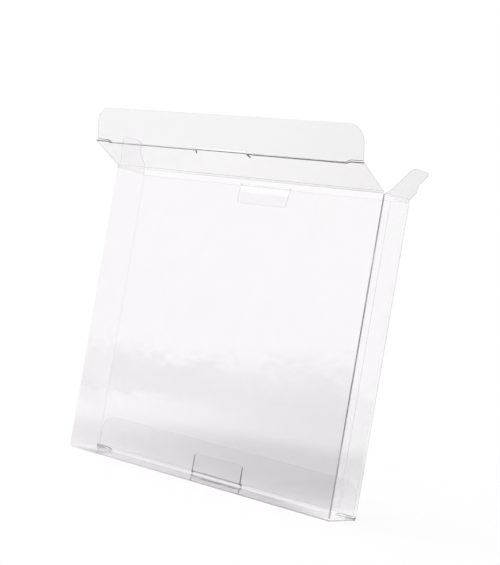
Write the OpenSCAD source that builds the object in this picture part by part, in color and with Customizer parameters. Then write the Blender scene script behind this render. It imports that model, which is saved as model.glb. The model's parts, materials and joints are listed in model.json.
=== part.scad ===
// Clear folding protector box: one die-cut sheet, creased and glued into a
// sleeve, with its bottom closed and locked and its top flaps standing open.
// The box stands on its bottom with the middle of its footprint at the
// origin, its front towards -Y and its height along +Z, in millimetres.

/* [Box] */
// Outside width of the box, left to right
box_w = 145; // [110:1:200]
// Outside depth of the box, front to back
box_d = 18; // [16:0.5:40]
// Outside height of the box with its lid closed
box_h = 127; // [80:1:220]

/* [Sheet] */
// Thickness of the clear sheet
sheet_t = 0.4; // [0.3:0.05:0.4]
// Inside radius of a folded crease
crease_r = 0.2; // [0.1:0.05:0.25]
// Space between two layers that lie on each other
layer_gap = 0.1; // [0.05:0.01:0.12]

/* [Glue flap] */
// Distance from the front face to the glue flap's free edge
glue_edge = 5.6; // [4:0.2:10]
// Chamfer at each end of the glue flap
glue_chamfer = 1.5; // [0:0.5:4]

/* [Lid and tongue] */
// Length of the tuck tongue below its crease
tongue_l = 14.8; // [10:0.2:18]
// Radius of the tongue's two free corners
tongue_r = 7; // [2:0.5:8]
// Length of the slit at each end of the tongue's crease
slit_l = 9; // [6:0.5:14]
// Offset of the slit from the crease, into the tongue
slit_offset = 1; // [0.9:0.05:1.1]
// Narrowing of the lid against the box, at each end
lid_relief = 0.6; // [0.5:0.1:1.5]
// Narrowing of the tongue against the box, at each end
tongue_relief = 1.2; // [1.1:0.1:3]

/* [Lock tab] */
// Width of the lock tab on the back panel
tab_w = 27; // [14:0.5:40]
// Height of the lock tab above its bend
tab_l = 7.8; // [5:0.1:10]
// Radius of the lock tab's free corners
tab_r = 1.5; // [0.5:0.5:3]
// Side play of the lock tab in its slot
tab_play = 0.3; // [0.2:0.1:1]

/* [Dust flaps] */
// Length of a dust flap from its crease
dust_l = 14.4; // [11:0.2:20]
// Length of the full-width shoulder next to the crease
shoulder_l = 4.4; // [3:0.2:6]
// Step from the shoulder in to the flap's back edge
shoulder_step = 2.6; // [1:0.2:3.5]
// Radius of the flap's front corner
dust_rf = 2.5; // [1:0.5:4]
// Radius of the flap's back corner
dust_rb = 2; // [1:0.5:4]

/* [Pose of the open top] */
// Angle of the lid from closed
lid_open = 152; // [20:1:215]
// Angle of the tongue back from the lid's plane
tongue_fold = 48; // [0:1:85]
// Angle of the right dust flap from closed
right_open = 131; // [90:1:175]
// Angle of the left dust flap from closed
left_open = 100; // [95:1:175]
// Angle of the lock tab from folded flat inside the back panel
tab_open = 5; // [0:1:170]

/* [Hidden] */
$fn = 48;
eps = 0.01;
half_w = box_w / 2;
half_d = box_d / 2;
fold_out = crease_r + sheet_t;
// Half widths of the lid and of the tongue
lid_hw = half_w - lid_relief;
tongue_hw = half_w - tongue_relief;
// Height of the middle of the closed lid, and of each crease's axis
lid_z = box_h - sheet_t / 2;
dust_z = lid_z - sheet_t - layer_gap;
tab_z = box_h - 1.5;
// Axes of the lid's and the tongue's creases, front to back
lid_y = -half_d + sheet_t / 2;
tongue_y = half_d - sheet_t * 1.5 - layer_gap;
// Length of the lid from crease to crease
lid_l = tongue_y - lid_y;
// Half gaps left at the creases that turn
lid_gap = 0.5;
tongue_gap = 0.25;
dust_gap = 0.3;
// The lock tab turns round the plane of the tucked tongue
tab_turn = half_d - sheet_t / 2 - tongue_y;
tab_hw = tab_w / 2;
slot_hw = tab_hw + tab_play;
// Slot for the lock tab, as distances from the tongue's crease
slot_near = 0.1;
slot_far = 1.2;
// Levels of the closed bottom, counted up from the floor
dust_floor = sheet_t + layer_gap;
back_floor = box_h - tab_z;
dust_hw = half_d - fold_out - 0.05;

// ---- shapes shared by several sub-parts

// A block from its lowest to its highest corner
module block(a, b) {
  translate(a) cube([b[0] - a[0], b[1] - a[1], b[2] - a[2]]);
}

// A quarter of a tube along Z: a folded crease, in one quadrant
module fold(len, sx, sy) {
  intersection() {
    difference() {
      cylinder(r = fold_out, h = len);
      translate([0, 0, -1]) cylinder(r = crease_r, h = len + 2);
    }
    translate([sx > 0 ? 0 : -2, sy > 0 ? 0 : -2, -1]) cube([2, 2, len + 2]);
  }
}

// The same crease along X, from x = -hw to x = hw
module fold_x(hw, sy, sz) {
  translate([-hw, 0, 0]) rotate([90, 0, 90]) fold(2 * hw, sy, sz);
}

// The same crease along Y, from y = -hw to y = hw
module fold_y(hw, sx, sz) {
  translate([0, hw, 0]) rotate([90, 0, 0]) fold(2 * hw, sx, sz);
}

// Flat cut of a tongue: x along its crease, y away from it
module tongue_cut(near, slot_from, end_near) {
  difference() {
    union() {
      translate([-tongue_hw, near])
        square([2 * tongue_hw, tongue_l - tongue_r - near]);
      translate([-tongue_hw + tongue_r, near])
        square([2 * (tongue_hw - tongue_r), tongue_l - near]);
      for (s = [-1, 1])
        translate([s * (tongue_hw - tongue_r), tongue_l - tongue_r])
          circle(r = tongue_r);
    }
    // slot for the lock tab
    translate([-slot_hw, near - 1])
      square([2 * slot_hw, slot_from - near + 1]);
    // slits at both ends, each running out to the crease at a slant
    for (s = [-1, 1]) scale([s, 1])
      polygon([[tongue_hw - slit_l + 0.9, near - 1],
               [tongue_hw - slit_l + 0.9, near],
               [tongue_hw - slit_l + 3.2, end_near],
               [tongue_hw + 1, end_near],
               [tongue_hw + 1, near - 1]]);
  }
}

// Flat cut of a dust flap: x away from its crease, y along it
module dust_cut(near) {
  front = -half_d + 2.7;
  back = dust_hw - shoulder_step;
  polygon([[near, -dust_hw], [2.6, -half_d + 2],
           [dust_l - dust_rf, front],
           [dust_l, front + dust_rf],
           [dust_l, back - dust_rb],
           [dust_l - dust_rb, back],
           [shoulder_l + 3.4, back],
           [shoulder_l, dust_hw], [near, dust_hw]]);
  translate([dust_l - dust_rf, front + dust_rf]) circle(r = dust_rf);
  translate([dust_l - dust_rb, back - dust_rb]) circle(r = dust_rb);
}

// Flat cut of a lock tab: x along its bend, y away from it
module tab_cut(near) {
  translate([-tab_hw, near]) square([tab_w, tab_l - tab_r - near]);
  translate([-tab_hw + tab_r, near])
    square([tab_w - 2 * tab_r, tab_l - near]);
  for (s = [-1, 1])
    translate([s * (tab_hw - tab_r), tab_l - tab_r]) circle(r = tab_r);
}

// A flat cut given the sheet's thickness, about its middle plane
module sheet() {
  translate([0, 0, -sheet_t / 2]) linear_extrude(sheet_t) children();
}

// ---- the sleeve: four walls, glue flap and the closed bottom

// Flat cut of the lid or the bottom panel: x along its creases, y away from
// the front one. Its two ears pass the ends of the tongue's crease.
module panel_cut(hw, near, far, ears, middle) {
  inner = tongue_hw - slit_l;
  polygon([[-hw, near], [hw, near], [hw, ears], [inner + 3.2, ears],
           [inner + 0.9, far], [slot_hw - 0.2, far],
           [slot_hw - 0.2, middle], [-slot_hw + 0.2, middle],
           [-slot_hw + 0.2, far], [-inner - 0.9, far],
           [-inner - 3.2, ears], [-hw, ears]]);
}

module walls() {
  side_top = dust_z - dust_gap;
  side_low = dust_floor + fold_out;
  // front panel
  block([-half_w + fold_out, -half_d, fold_out],
        [half_w - fold_out, -half_d + sheet_t, lid_z - lid_gap]);
  // left panel
  block([-half_w, -half_d + fold_out, side_low],
        [-half_w + sheet_t, half_d - fold_out, side_top]);
  // right panel, whose back edge is a free cut edge over the glue flap
  block([half_w - sheet_t, -half_d + fold_out, side_low],
        [half_w, half_d - sheet_t / 2, side_top]);
  // back panel
  block([-half_w + fold_out, half_d - sheet_t, back_floor],
        [half_w - fold_out - sheet_t, half_d, tab_z - 0.05]);
  // upright folded edges
  for (s = [-1, 1])
    translate([s * (half_w - fold_out), -half_d + fold_out, side_low])
      fold(side_top - side_low, s, -1);
  translate([-half_w + fold_out, half_d - fold_out, back_floor])
    fold(tab_z - 0.05 - back_floor, -1, 1);
}

module glue_flap() {
  low = back_floor + 0.1;
  high = tab_z - 0.15;
  x1 = half_w - sheet_t + 0.05;
  y0 = -half_d + glue_edge;
  translate([half_w - fold_out - sheet_t, half_d - fold_out, low])
    fold(high - low, 1, 1);
  translate([x1 - sheet_t - 0.05, 0, 0]) rotate([90, 0, 90])
    linear_extrude(sheet_t + 0.05)
      polygon([[half_d - fold_out, low], [y0 + glue_chamfer, low],
               [y0, low + glue_chamfer], [y0, high - glue_chamfer],
               [y0 + glue_chamfer, high], [half_d - fold_out, high]]);
}

module closed_bottom() {
  tongue_in = tongue_y - sheet_t / 2;
  // bottom panel, whose ears reach under the back panel
  linear_extrude(sheet_t)
    panel_cut(lid_hw, -half_d + fold_out, tongue_in - crease_r, half_d,
              tongue_in - crease_r + eps);
  // its crease to the front panel
  translate([0, -half_d + fold_out, fold_out])
    fold_x(half_w - fold_out, -1, -1);
  // tongue, folded up inside the back panel
  translate([0, tongue_in - crease_r, fold_out])
    fold_x(tongue_hw - slit_l + 0.9, 1, -1);
  translate([0, tongue_y, sheet_t / 2]) rotate([90, 0, 0]) sheet()
    tongue_cut(crease_r + sheet_t / 2, slot_far, slit_offset);
  // lock tab: through the tongue's slot and up in front of the tongue
  translate([0, tongue_y, back_floor]) {
    difference() {
      rotate([0, 90, 0])
        cylinder(r = tab_turn + sheet_t / 2, h = tab_w, center = true);
      rotate([0, 90, 0])
        cylinder(r = tab_turn - sheet_t / 2, h = tab_w + 2, center = true);
      translate([-tab_w, -2, 0]) cube([2 * tab_w, 4, 2]);
    }
    translate([0, -tab_turn, 0]) rotate([90, 0, 0]) sheet() tab_cut(0);
  }
  // dust flaps, folded in above the bottom panel
  for (s = [-1, 1]) scale([s, 1, 1]) {
    translate([half_w - fold_out, 0, dust_floor + fold_out])
      fold_y(dust_hw, 1, -1);
    translate([half_w - sheet_t / 2, 0, dust_floor + sheet_t / 2])
      scale([-1, 1, 1]) sheet() dust_cut(crease_r + sheet_t / 2);
  }
}

module sleeve() {
  color([0.86, 0.87, 0.88, 0.35]) {
    walls();
    glue_flap();
    closed_bottom();
  }
}

// ---- the flaps of the open top, each shown in its pose

module lid() {
  color([0.86, 0.87, 0.88, 0.35])
    translate([0, lid_y, lid_z]) rotate([lid_open, 0, 0]) sheet()
      difference() {
        panel_cut(lid_hw, lid_gap, lid_l - tongue_gap,
                  lid_l + slit_offset - 0.3, lid_l + slot_near);
        // fine cuts that end the slot, slanting into the lid
        for (s = [-1, 1]) scale([s, 1])
          polygon([[slot_hw - 0.2, lid_l + 1], [slot_hw + 0.1, lid_l + 1],
                   [slot_hw + 0.1, lid_l - 0.3],
                   [slot_hw + 0.9, lid_l - 2.3],
                   [slot_hw + 0.6, lid_l - 2.3],
                   [slot_hw - 0.2, lid_l - 0.3]]);
      }
}

module lid_tongue() {
  color([0.86, 0.87, 0.88, 0.35])
    translate([0, lid_y, lid_z]) rotate([lid_open, 0, 0])
      translate([0, lid_l, 0]) rotate([-tongue_fold, 0, 0])
        sheet() tongue_cut(tongue_gap, slot_far, slit_offset);
}

// side is 1 for the right flap and -1 for the left one
module dust_flap(side, open) {
  color([0.86, 0.87, 0.88, 0.35])
    scale([side, 1, 1])
      translate([half_w - sheet_t / 2, 0, dust_z]) rotate([0, open, 0])
        scale([-1, 1, 1]) sheet() dust_cut(dust_gap);
}

module left_dust_flap() { dust_flap(-1, left_open); }

module right_dust_flap() { dust_flap(1, right_open); }

// Folded in and down, as it lies in front of a tucked tongue
module lock_tab() {
  color([0.86, 0.87, 0.88, 0.35])
    translate([0, tongue_y, tab_z]) rotate([-tab_open, 0, 0])
      translate([0, -tab_turn, 0]) rotate([-90, 0, 0])
        sheet() tab_cut(0.05);
}

sleeve();
lid();
lid_tongue();
left_dust_flap();
right_dust_flap();
lock_tab();
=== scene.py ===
import json
import math

import bmesh
import bpy
from mathutils import Euler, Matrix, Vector
from mathutils.bvhtree import BVHTree


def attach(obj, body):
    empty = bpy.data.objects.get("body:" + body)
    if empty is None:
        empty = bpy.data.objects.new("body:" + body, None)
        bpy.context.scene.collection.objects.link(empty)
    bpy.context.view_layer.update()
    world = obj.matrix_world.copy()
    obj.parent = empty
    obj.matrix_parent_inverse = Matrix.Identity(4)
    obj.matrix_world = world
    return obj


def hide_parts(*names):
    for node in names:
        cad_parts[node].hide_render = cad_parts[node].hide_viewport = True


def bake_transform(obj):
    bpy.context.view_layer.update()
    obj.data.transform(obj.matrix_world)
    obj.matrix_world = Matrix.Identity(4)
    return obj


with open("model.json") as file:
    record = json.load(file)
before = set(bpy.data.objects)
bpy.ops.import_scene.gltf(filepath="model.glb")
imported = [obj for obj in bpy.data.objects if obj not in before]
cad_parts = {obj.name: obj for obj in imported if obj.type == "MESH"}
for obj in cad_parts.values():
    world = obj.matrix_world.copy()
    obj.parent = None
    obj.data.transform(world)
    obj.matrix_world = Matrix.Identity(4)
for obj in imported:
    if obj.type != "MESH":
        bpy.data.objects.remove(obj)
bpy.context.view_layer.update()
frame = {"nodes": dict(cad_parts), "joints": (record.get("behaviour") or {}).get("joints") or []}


# The sleeve: four walls, the glue flap and the closed bottom, all of one
# sheet of clear PET, die-cut, creased, folded round and glued at one seam. Its
# cut edges are square with a fine burr, and its folds are rounded and strained.
# The outer sides of its folds carry a painted dark shade, and the cut edges in
# its slits, its slot and along part of its foot a painted near-black shade.
sheet_t = 0.0004
film_ior = 1.57
burr = 0.00009
# how far the lip beside a slit runs across the sheet and up from it
lip = 0.0002
lip_line = ((0.0, -0.00001), (0.0, 0.00003), (lip * 0.4, 0.00004),
            (lip, -0.00001))
# the lock tab's slot and the slits, at the open top and at the closed foot
slot_half = 0.0145
slit_start = 0.0625
foot_slit_start = 0.0615
foot_crease_y, foot_crease_z = 0.0078, 0.0016
foot_slot_top = 0.01
foot_tab_y = 0.0072
floor_edge_z = 0.001
# what counts as close, as one direction, as upright and as square to an axis
close_gap = 0.001
tiny = 0.000001
same_way, upright, square_on = 0.9, 0.1, 0.9999
near_corner = 0.9
flat_angle = math.radians(0.5)
rim_angle = math.radians(50)
smooth_angle = math.radians(25)
white = (1.0, 1.0, 1.0, 1.0)
FACE, CUT, FOLD, SLIT, PRESSED = range(5)


def add(tree, kind, inputs=None, **settings):
    """A shader node with its settings, and its sockets set or linked by name."""
    made = tree.nodes.new(kind)
    for key, value in settings.items():
        setattr(made, key, value)
    for key, value in (inputs or {}).items():
        if isinstance(value, bpy.types.NodeSocket):
            tree.links.new(value, made.inputs[key])
        else:
            made.inputs[key].default_value = value
    return made


def maths(tree, operation, *values):
    """The result of one Math node."""
    return add(tree, "ShaderNodeMath", dict(enumerate(values)),
               operation=operation).outputs[0]


def ramp(tree, value, low, high, start=0.0, end=1.0, soft=False):
    """start where the value is low and end where it is high, held outside."""
    return add(tree, "ShaderNodeMapRange",
               {"Value": value, "From Min": low, "From Max": high,
                "To Min": start, "To Max": end},
               interpolation_type="SMOOTHSTEP" if soft else "LINEAR",
               ).outputs[0]


def noise(tree, at, scale, detail, **values):
    """The height of one Noise Texture node at a point of the sheet."""
    return add(tree, "ShaderNodeTexNoise",
               {"Vector": at, "Scale": scale, "Detail": detail, **values},
               ).outputs["Fac"]


def surface_point(tree):
    """Where on its own piece a point lies, in metres."""
    return add(tree, "ShaderNodeTexCoord").outputs["Object"]


def new_group(name, inputs, outputs):
    """An empty node group with float inputs and outputs, and its two ends."""
    tree = bpy.data.node_groups.new(name, "ShaderNodeTree")
    for label, value in inputs.items():
        tree.interface.new_socket(
            name=label, in_out="INPUT",
            socket_type="NodeSocketFloat").default_value = value
    for label in outputs:
        tree.interface.new_socket(name=label, in_out="OUTPUT",
                                  socket_type="NodeSocketFloat")
    return (tree, add(tree, "NodeGroupInput").outputs,
            add(tree, "NodeGroupOutput").inputs)


# long, shallow waves left in the sheet by its rolling and by being handled
sheet_waves, given, result = new_group(
    "sheet_waves", {"Wave Scale": 16.0, "Ripple Share": 0.2}, ["Height"])
at = surface_point(sheet_waves)
long_wave = noise(sheet_waves, at, given["Wave Scale"], 1.0, Roughness=0.4)
ripple = noise(sheet_waves, at, 90.0, 2.0, Roughness=0.5)
sheet_waves.links.new(
    maths(sheet_waves, "MULTIPLY_ADD", ripple, given["Ripple Share"],
          long_wave), result["Height"])

# smears, hair scratches and specks of dust from handling and packing
handling_marks, given, result = new_group(
    "handling_marks", {"Smears": 1.0, "Scratches": 1.0, "Specks": 1.0},
    ["Marks"])
at = surface_point(handling_marks)
smear = noise(handling_marks, at, 24.0, 4.0, Roughness=0.62, Distortion=0.8)
total = maths(handling_marks, "MULTIPLY",
              ramp(handling_marks, smear, 0.44, 0.75), given["Smears"])
for turn, stretch in (((0.2, 0.9, 0.5), (26.0, 26.0, 1700.0)),
                      ((0.8, 0.1, 1.9), (1500.0, 20.0, 20.0))):
    way = add(handling_marks, "ShaderNodeMapping",
              {"Vector": at, "Rotation": turn, "Scale": stretch})
    hair = noise(handling_marks, way.outputs["Vector"], 1.0, 1.0)
    total = maths(handling_marks, "MULTIPLY_ADD",
                  ramp(handling_marks, hair, 0.74, 0.8), given["Scratches"],
                  total)
speck = noise(handling_marks, at, 900.0, 0.0)
handling_marks.links.new(
    maths(handling_marks, "MULTIPLY_ADD",
          ramp(handling_marks, speck, 0.8, 0.83), given["Specks"], total),
    result["Marks"])

# fine lines that a steel rule leaves across a cut or a pressed crease
rule_marks, given, result = new_group(
    "rule_marks", {"Line Scale": 2500.0}, ["Lines"])
rule_marks.links.new(
    noise(rule_marks, surface_point(rule_marks), given["Line Scale"], 2.0,
          Roughness=0.6), result["Lines"])


def mirror_share(tree, normal, least, most):
    """How much a film mirrors: little head on, and most of it at a glance."""
    facing = add(tree, "ShaderNodeLayerWeight",
                 {"Blend": 0.5, "Normal": normal}).outputs["Facing"]
    steep = maths(tree, "POWER", facing, 5.0)
    return maths(tree, "MULTIPLY_ADD", steep, most - least, least)


def fold_shade(tree, solid, fold_share):
    """Painted shade: a body made more solid where a fold's outside faces the viewer."""
    facing = add(tree, "ShaderNodeLayerWeight",
                 {"Blend": 0.5}).outputs["Facing"]
    backfacing = add(tree, "ShaderNodeNewGeometry").outputs["Backfacing"]
    square = maths(tree, "POWER", maths(tree, "SUBTRACT", 1.0, facing), 8.0)
    square = maths(tree, "MULTIPLY", square,
                   maths(tree, "SUBTRACT", 1.0, backfacing))
    return maths(tree, "MULTIPLY_ADD", square, fold_share, solid)


def film_material(name, colour, alpha, roughness, wave_height, marks_share,
                  gloss_rough, line_share=0.0, line_bump=0.0, fold_share=0.0,
                  least=0.055, most=1.0, marks_tint=1.0):
    """Clear PET: a faint body that what is behind shows through, and a gloss
    over it that grows from least to most towards a glancing view. The shares
    tell how much marks, the rule's lines and a fold's painted dark shade add to the body."""
    made = bpy.data.materials.new(name)
    made.use_nodes = True
    tree = made.node_tree
    tree.nodes.clear()
    waves, marks, lines = (
        add(tree, "ShaderNodeGroup", node_tree=group).outputs[0]
        for group in (sheet_waves, handling_marks, rule_marks))
    wavy = add(tree, "ShaderNodeBump",
               {"Height": waves, "Distance": wave_height}).outputs["Normal"]
    normal = add(tree, "ShaderNodeBump",
                 {"Height": lines, "Distance": line_bump, "Normal": wavy},
                 ).outputs["Normal"]
    tone = add(tree, "ShaderNodeMix",
               {0: maths(tree, "MULTIPLY", marks, marks_tint),
                6: (*colour, 1.0), 7: (0.8, 0.8, 0.8, 1.0)},
               data_type="RGBA").outputs[2]
    solid = maths(tree, "MULTIPLY_ADD", marks, marks_share, alpha)
    solid = maths(tree, "MULTIPLY_ADD", lines, line_share, solid)
    if fold_share:
        solid = fold_shade(tree, solid, fold_share)
    body = add(tree, "ShaderNodeBsdfPrincipled",
               {"Base Color": tone, "Roughness": roughness, "IOR": film_ior,
                "Specular IOR Level": 0.5 * most, "Alpha": solid,
                "Normal": normal})
    gloss = add(tree, "ShaderNodeBsdfAnisotropic",
                {"Color": white, "Roughness": gloss_rough, "Normal": normal})
    both = add(tree, "ShaderNodeMixShader",
               {"Fac": mirror_share(tree, normal, least, most),
                1: body.outputs[0], 2: gloss.outputs[0]})
    add(tree, "ShaderNodeOutputMaterial", {"Surface": both.outputs[0]})
    return made


clear_face = film_material(
    "clear_pet_face", (0.57, 0.3, 0.54), alpha=0.026, roughness=0.5,
    wave_height=0.0006, marks_share=0.02, gloss_rough=0.05)
cut_edge = film_material(
    "clear_pet_cut_edge", (0.3, 0.3, 0.31), alpha=0.28, roughness=0.35,
    wave_height=0.0, marks_share=0.1, gloss_rough=0.22, line_share=0.2,
    line_bump=0.00004)
# the fold finish: a dark grey body, painted shade along the outer side of each fold
fold_painted_shade = film_material(
    "clear_pet_fold_painted_shade", (0.12, 0.12, 0.125), alpha=0.03, roughness=0.3,
    wave_height=0.0, marks_share=0.03, gloss_rough=0.12, line_share=0.06,
    line_bump=0.00003, fold_share=0.95)
# the slit finish: near-black and nearly solid, painted shade for the light lost in slits, slots
# and along part of the foot
slit_painted_shade = film_material(
    "clear_pet_slit_painted_shade", (0.05, 0.05, 0.055), alpha=0.85, roughness=0.5,
    wave_height=0.0, marks_share=0.05, gloss_rough=0.3, line_share=0.15,
    line_bump=0.00004, least=0.02, most=0.1, marks_tint=0.15)
pressed_face = film_material(
    "clear_pet_pressed_face", (0.57, 0.3, 0.54), alpha=0.02, roughness=0.5,
    wave_height=0.0006, marks_share=0.02, gloss_rough=0.08, least=0.006)
film_finishes = (clear_face, cut_edge, fold_painted_shade, slit_painted_shade, pressed_face)


def new_piece(name, shape, *finishes):
    """A mesh of its own in the scene, made from a shape that is then freed."""
    mesh = bpy.data.meshes.new(name)
    shape.to_mesh(mesh)
    shape.free()
    for finish in finishes:
        mesh.materials.append(finish)
    piece = bpy.data.objects.new(name, mesh)
    bpy.context.scene.collection.objects.link(piece)
    return piece


def smooth_below(shape, angle):
    """Shades a shape smooth, apart from the edges that bend more."""
    for face in shape.faces:
        face.smooth = True
    for e in shape.edges:
        e.smooth = e.calc_face_angle(0.0) < angle


def slit_lip(shape, edge, side, cut):
    """A fine raised lip that the knife leaves on a sheet beside a slit, finished in the slit's
    painted near-black shade.
    """
    inward = (side.normal * cut.normal.dot(side.normal)
              - cut.normal).normalized()
    a, b = ([shape.verts.new(v.co + inward * across + side.normal * up)
             for across, up in lip_line] for v in edge.verts)
    made = [shape.faces.new((a[i], a[i - 1], b[i - 1], b[i]))
            for i in range(len(lip_line))]
    made += [shape.faces.new(a), shape.faces.new(b[::-1])]
    for face in made:
        face.material_index = SLIT
    return made


def lost_in_slit(middle, way, folds, slit_way, pressed):
    """Whether a cut edge lies in a slit or a slot, where light is lost; such an edge is given a
    painted near-black shade.
    """
    x, y, z = middle
    if folds:
        bottom_slit = (z < foot_crease_z and y > foot_crease_y
                       and not slot_half < abs(x) < foot_slit_start)
        slot_end = (abs(x) < slot_half and z < foot_slot_top
                    and abs(way.x) > same_way)
        return bottom_slit or slot_end
    return (slit_way is not None and way.dot(slit_way) > same_way
            and (pressed or not slot_half < abs(x) < slit_start))


def outside_of_fold(middle, way, centre):
    """Whether a face lies on the outer side of a fold between two walls, or
    on the bottom lock tab's bend."""
    between_walls = (way.dot(middle - centre) > 0 and abs(way.z) < upright
                     and max(abs(way.x), abs(way.y)) < square_on)
    tab_bend = (max(abs(c) for c in way) < square_on
                and abs(middle.x) < slot_half and middle.y > foot_tab_y)
    return between_walls or tab_bend


def sheet_piece(name, node, body, folds=False, slit_way=None,
                pressed=False):
    """A CAD node's shape as one piece of cut sheet: its faces, its cut edges
    with their burr, its slits and the outer sides of its folds, the last two with
    painted dark shade. slit_way is the direction that the slit edges of a flap
    face, and pressed tells that the crease between two slits gets the same painted
    dark shade on this side."""
    shape = bmesh.new()
    shape.from_mesh(frame["nodes"][node].data)
    bmesh.ops.remove_doubles(shape, verts=shape.verts, dist=tiny)
    shape.normal_update()
    tree = BVHTree.FromBMesh(shape)
    lowest, highest = ([end(v.co[i] for v in shape.verts) for i in range(3)]
                       for end in (min, max))
    centre = (Vector(lowest) + Vector(highest)) / 2

    def struck(at, way, reach):
        return tree.ray_cast(at + way * tiny, way, reach)[2]

    is_cut = [struck(f.calc_center_median(), -f.normal, 3 * sheet_t) is None
              for f in shape.faces]
    for face, cut in zip(shape.faces, is_cut):
        middle, way = face.calc_center_median(), face.normal
        if cut:
            # a cut edge that faces another across a narrow gap, or lies in a slit or slot, takes
            # the slit finish: painted near-black shade
            over = struck(middle, way, close_gap)
            if over is not None and is_cut[over] or lost_in_slit(
                    middle, way, folds, slit_way, pressed):
                face.material_index = SLIT
            elif folds and middle.z < floor_edge_z:
                # an edge that lies on the floor is as bright as it is
                face.material_index = FACE
            else:
                face.material_index = CUT
        elif folds and outside_of_fold(middle, way, centre):
            # the outer side of a fold takes the fold finish, a painted dark shade
            face.material_index = FOLD
        elif all(struck(middle.lerp(v.co, near_corner), way, close_gap)
                 is not None for v in face.verts):
            # a gap between two sheets that lie on each other mirrors little
            face.material_index = PRESSED
        else:
            face.material_index = FACE
    bmesh.ops.dissolve_limit(
        shape, angle_limit=flat_angle, verts=shape.verts,
        edges=shape.edges, delimit={"MATERIAL"})
    rims = [e for e in shape.edges if len(e.link_faces) == 2
            and {f.material_index for f in e.link_faces} in
            ({FACE, CUT}, {FOLD, CUT})
            and e.calc_face_angle(0.0) > rim_angle]
    bmesh.ops.bevel(shape, geom=rims, offset=burr, offset_type="OFFSET",
                    segments=1, profile=0.5, affect="EDGES", material=CUT,
                    clamp_overlap=False)
    lips = []
    for e in list(shape.edges):
        # a flap has no lips at its slot, which the lock tab passes through
        if len(e.link_faces) == 2 and (
                slit_way is None or abs(e.verts[0].co.x) > slit_start):
            side, cut = sorted(e.link_faces, key=lambda f: f.material_index)
            if (side.material_index, cut.material_index) == (FACE, SLIT):
                lips += slit_lip(shape, e, side, cut)
    bmesh.ops.recalc_face_normals(shape, faces=lips)
    for v in shape.verts:
        v.co = [min(max(x, low), high)
                for x, low, high in zip(v.co, lowest, highest)]
    smooth_below(shape, smooth_angle)
    piece = new_piece(name, shape, *film_finishes)
    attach(piece, body)
    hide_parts(node)
    return piece


sheet_piece("sleeve_sheet", "sleeve", "sleeve", folds=True)


# The lid, which is the front panel's top flap, with its ears past the ends of
# the tongue's crease. It stands open, and its crease is a line that a blunt
# steel rule has pressed into the sheet, which leaves a low bead.
joints = {joint["name"]: joint for joint in frame["joints"]}
closed_at = {name: joint["range_deg"][0] for name, joint in joints.items()}
lid_axis = Vector(joints["lid_crease"]["pos_m"])
lid_opened = -closed_at["lid_crease"]
lid_reach = 0.0005
lid_half = 0.0719
crease_steps = 8
bead_rise = 0.22
strip_gap = 0.000005
strip_smooth_angle = math.radians(40)
along_x = Vector((1, 0, 0))
down = Vector((0, 0, -1))


def bent_strip(name, line, spans, along):
    """A bent strip of sheet that joins two bodies at their crease. line holds
    its outer and inner points, and spans its ends along the crease."""
    shape = bmesh.new()
    for low, high in spans:
        rings = [[shape.verts.new(p + along * s) for s in (low, high)
                  for p in pair] for pair in line]
        for a, b in zip(rings, rings[1:]):
            # the strip's outer side takes the fold finish, a painted dark shade
            for i, j, kind in ((0, 2, FOLD), (2, 3, CUT), (3, 1, FACE),
                               (1, 0, CUT)):
                side = shape.faces.new((a[i], a[j], b[j], b[i]))
                side.material_index = kind
        for ring in (rings[0], rings[-1]):
            cap = shape.faces.new([ring[i] for i in (0, 1, 3, 2)])
            cap.material_index = FACE
    bmesh.ops.recalc_face_normals(shape, faces=shape.faces)
    smooth_below(shape, strip_smooth_angle)
    piece = new_piece(name, shape, *film_finishes)
    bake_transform(piece)
    return piece


def crease_strip(name, axis_point, towards, reach, spans, along):
    """The pressed crease between two flat panels, with its bead. towards are
    the two directions away from the crease's axis, first body first."""
    first, second = (d.normalized() for d in towards)
    ends = reach - strip_gap
    start, end = axis_point + first * ends, axis_point + second * ends
    line = []
    for i in range(crease_steps + 1):
        t = i / crease_steps
        point = (start * (1 - t) ** 2 + axis_point * 2 * t * (1 - t)
                 + end * t ** 2)
        slope = (axis_point - start) * (1 - t) + (end - axis_point) * t
        side = along.cross(slope).normalized()
        half_t = 0.5 * sheet_t * (1 + bead_rise * math.sin(math.pi * t) ** 2)
        line.append((point + side * half_t, point - side * half_t))
    return bent_strip(name, line, spans, along)


def upright_way(degrees):
    """The direction at an angle from +Y towards +Z."""
    turned = math.radians(degrees)
    return Vector((0.0, math.cos(turned), math.sin(turned)))


lid_way = upright_way(lid_opened)
sheet_piece("lid_sheet", "lid", "lid", slit_way=lid_way, pressed=True)
crease_strip("lid_crease_strip", lid_axis,
             (down, lid_way), lid_reach, [(-lid_half, lid_half)], along_x)


# The lid's tuck tongue, with a slit at each end and the slot for the lock tab
# in the middle of its crease. It is folded back from the lid.
tongue_axis = Vector(joints["tongue_crease"]["pos_m"])
tongue_back = joints["tongue_crease"]["range_deg"][1]
tongue_reach = 0.00025
crease_end, slot_side = 0.0631, 0.0139
tongue_way = upright_way(lid_opened - tongue_back)
sheet_piece("tongue_sheet", "lid_tongue", "lid_tongue", slit_way=-tongue_way)
crease_strip("tongue_crease_strip", tongue_axis,
             (-lid_way, tongue_way), tongue_reach,
             [(-crease_end, -slot_side), (slot_side, crease_end)], along_x)


# The two dust flaps, one on each side panel's top edge, which fold in before
# the lid. Each has a shoulder at its crease and a free rounded end.
dust_reach = 0.0003
dust_half = 0.00835
for side, label in ((-1, "left"), (1, "right")):
    crease = f"{label}_dust_crease"
    turned = math.radians(-closed_at[crease])
    sheet_piece(f"{label}_dust_flap_sheet", f"{label}_dust_flap",
                f"{label}_dust_flap")
    crease_strip(
        f"{label}_dust_crease_strip",
        Vector(joints[crease]["pos_m"]),
        (down, Vector((-side * math.cos(turned), 0, math.sin(turned)))),
        dust_reach, [(-dust_half, dust_half)], Vector((0, 1, 0)))


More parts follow.
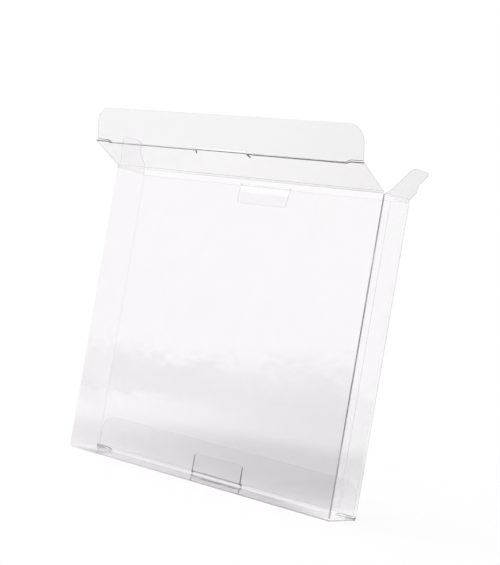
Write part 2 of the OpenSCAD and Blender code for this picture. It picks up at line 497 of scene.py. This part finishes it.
# The lock tab on the back panel's top edge. It is folded in and down behind
# its arched bend, as it lies when it holds a tucked tongue.
sheet_piece("lock_tab_sheet", "lock_tab", "lock_tab")
tab_axis = Vector(joints["lock_tab_crease"]["pos_m"])
tab_turn = 0.0005
tab_half = 0.0135
arch_start, arch_sweep, arch_steps = -4, 186.5, 12
arch = []
for i in range(arch_steps + 1):
    out = upright_way(arch_start + arch_sweep * i / arch_steps)
    arch.append((tab_axis + out * (tab_turn + sheet_t / 2),
                 tab_axis + out * (tab_turn - sheet_t / 2)))
bent_strip("lock_tab_bend", arch,
           [(-tab_half, tab_half)], along_x)


# The floor and the studio: a plain white sweep, and four dark cards and a
# bright one on the floor that only the film's gloss shows, as a photographer
# lays them down to make clear film stand out from white. The cards are painted
# reflections: no camera, diffuse or shadow ray meets them, and the bright one
# glows though it is no lamp. The floor also carries a painted shadow behind the box.
floor_half = 6.0
floor_drop = 0.0001
# where the painted shadow behind the box lies on the floor, and how deep it is
painted_shadow_middle = (-0.04, 0.11, 0.0)
painted_shadow_depth = 0.19


def stage_material(name):
    """An empty material and its node tree."""
    made = bpy.data.materials.new(name)
    made.use_nodes = True
    made.node_tree.nodes.clear()
    return made, made.node_tree


def mixed(tree, share, first, second):
    """The mix of two shaders."""
    return add(tree, "ShaderNodeMixShader",
               {"Fac": share, 1: first.outputs[0],
                2: second.outputs[0]}).outputs[0]


def seen_straight(tree):
    """1 for rays from the camera, from gloss and through glass."""
    path = add(tree, "ShaderNodeLightPath").outputs
    seen = maths(tree, "MAXIMUM", path["Is Camera Ray"],
                 path["Is Glossy Ray"])
    return maths(tree, "MAXIMUM", seen, path["Is Transmission Ray"])


floor_finish, tree = stage_material("white_floor")
paper = add(tree, "ShaderNodeBsdfDiffuse", {"Color": (0.95, 0.95, 0.95, 1.0)})
place = add(tree, "ShaderNodeNewGeometry").outputs["Position"]
# painted shadow: a pale grey spot painted on the floor behind the box, which only camera rays
# that pass through the film see
path = add(tree, "ShaderNodeLightPath").outputs
through = maths(tree, "MULTIPLY", path["Is Camera Ray"],
                maths(tree, "MINIMUM", path["Transparent Depth"], 1.0))
from_painted_shadow = add(tree, "ShaderNodeVectorMath", {0: place, 1: painted_shadow_middle},
                 operation="DISTANCE").outputs["Value"]
painted_shadow_dim = ramp(tree, from_painted_shadow, 0.04, 0.16, painted_shadow_depth, 0.0, soft=True)
level = maths(tree, "SUBTRACT", 1.0, maths(tree, "MULTIPLY", through, painted_shadow_dim))
glow = add(tree, "ShaderNodeEmission", {"Color": white, "Strength": level})
from_box = add(tree, "ShaderNodeVectorMath", {0: place},
               operation="LENGTH").outputs["Value"]
far = ramp(tree, from_box, 0.1, 0.45, 0.8, 1.0, soft=True)
share = maths(tree, "MAXIMUM", through,
              maths(tree, "MULTIPLY", seen_straight(tree), far))
add(tree, "ShaderNodeOutputMaterial",
    {"Surface": mixed(tree, share, paper, glow)})
shape = bmesh.new()
bmesh.ops.create_grid(shape, x_segments=8, y_segments=8, size=floor_half)
floor = new_piece("floor", shape, floor_finish)
floor.location = (0.0, 0.0, -floor_drop)


def soft_card(name, place, turn, half, reach, depth, shade=0.02):
    """A card on the floor with soft edges, which only gloss shows: a painted
    reflection, as dark or as bright as its shade. reach gives where it fades, as
    (start, end) for each of its four sides."""
    finish, tree = stage_material(name)
    spot = add(tree, "ShaderNodeSeparateXYZ",
               {"Vector": surface_point(tree)}).outputs
    strength = depth
    sides = (("X", 1.0), ("X", -1.0), ("Y", 1.0), ("Y", -1.0))
    for (socket, sign), (full, gone) in zip(sides, reach):
        along = maths(tree, "MULTIPLY", spot[socket], sign)
        strength = maths(tree, "MULTIPLY",
                         ramp(tree, along, full, gone, 1.0, 0.0, soft=True),
                         strength)
    clear = add(tree, "ShaderNodeBsdfTransparent")
    tone = add(tree, "ShaderNodeEmission", {"Color": white, "Strength": shade})
    add(tree, "ShaderNodeOutputMaterial",
        {"Surface": mixed(tree, strength, clear, tone)})
    shape = bmesh.new()
    bmesh.ops.create_grid(shape, x_segments=2, y_segments=2, size=half)
    card = new_piece(name, shape, finish)
    card.location = place
    card.rotation_euler = (0.0, 0.0, math.radians(turn))
    card.visible_camera = card.visible_diffuse = False
    card.visible_shadow = card.visible_transmission = False


# +Y of the first card runs from the box's foot to the front left
soft_card("front_painted_reflection_card", (0.06, -0.01, 0.0001), 143.6, 1.8,
          ((-0.02, 0.16), (0.3, 0.5), (0.35, 1.5), (0.0, 0.08)), 1.0)
soft_card("left_painted_reflection_card", (-0.455, -0.339, 0.00015), 143.6, 0.45,
          ((0.1, 0.25), (0.1, 0.25), (0.15, 0.4), (0.12, 0.2)), 0.55)
soft_card("round_painted_reflection_card", (-0.06, 0.02, 0.0002), 0.0, 0.4,
          ((0.1, 0.17), (0.16, 0.3), (0.03, 0.1), (0.0, 0.02)), 0.35)
soft_card("back_painted_reflection_card", (0.13, 0.21, 0.0003), 0.0, 0.3,
          ((0.02, 0.12), (0.02, 0.1), (0.03, 0.15), (0.0, 0.08)), 1.0, 0.25)
# a glowing card that is no lamp: a painted bright reflection in the film
soft_card("bright_painted_reflection_card", (0.0725, 0.0, 0.0004), -33.7, 0.4,
          ((0.04, 0.09), (0.04, 0.09), (0.0, 0.3), (0.0, 0.02)), 0.6, 1.7)


# Light: one broad soft lamp overhead, a weaker one at the front left and a
# white surround, all plain and even.
def soft_lamp(name, place, aim, size, power):
    """A round soft lamp that points at a place."""
    light = bpy.data.lights.new(name, "AREA")
    light.shape = "DISK"
    light.size = size
    light.energy = power
    lamp = bpy.data.objects.new(name, light)
    bpy.context.scene.collection.objects.link(lamp)
    lamp.location = place
    lamp.rotation_euler = (Vector(aim) - Vector(place)).to_track_quat(
        "-Z", "Y").to_euler()
    return lamp


soft_lamp("top_lamp", (-0.4, -0.3, 1.6), (0.0, 0.0, 0.06), 1.4, 10.0)
soft_lamp("front_lamp", (-1.5, -1.4, 1.0), (0.0, 0.0, 0.08), 0.9, 6.0)

world = bpy.data.worlds.new("white_surround")
bpy.context.scene.world = world
world.use_nodes = True
tree = world.node_tree
tree.nodes.clear()
lighting, shown = (add(tree, "ShaderNodeBackground",
                       {"Color": white, "Strength": strength})
                   for strength in (0.7, 1.0))
add(tree, "ShaderNodeOutputWorld",
    {"Surface": mixed(tree, seen_straight(tree), lighting, shown)})


# The camera, at the photograph's viewing angle: level, at two thirds of the
# box's height, and tilted as the photograph is.
lens = bpy.data.cameras.new("camera")
lens.sensor_width = 36.0
lens.lens = 88.715
lens.clip_start, lens.clip_end = 0.01, 50.0
camera = bpy.data.objects.new("camera", lens)
bpy.context.scene.collection.objects.link(camera)
camera.location = (0.374143, -0.444645, 0.07988)
camera.rotation_euler = Euler([math.radians(a) for a in
                               (90.49422, -9.65379, 39.45747)])
bpy.context.scene.camera = camera

scene = bpy.context.scene
scene.view_settings.view_transform = "Standard"
scene.cycles.transparent_max_bounces = 64
scene.cycles.max_bounces = 16
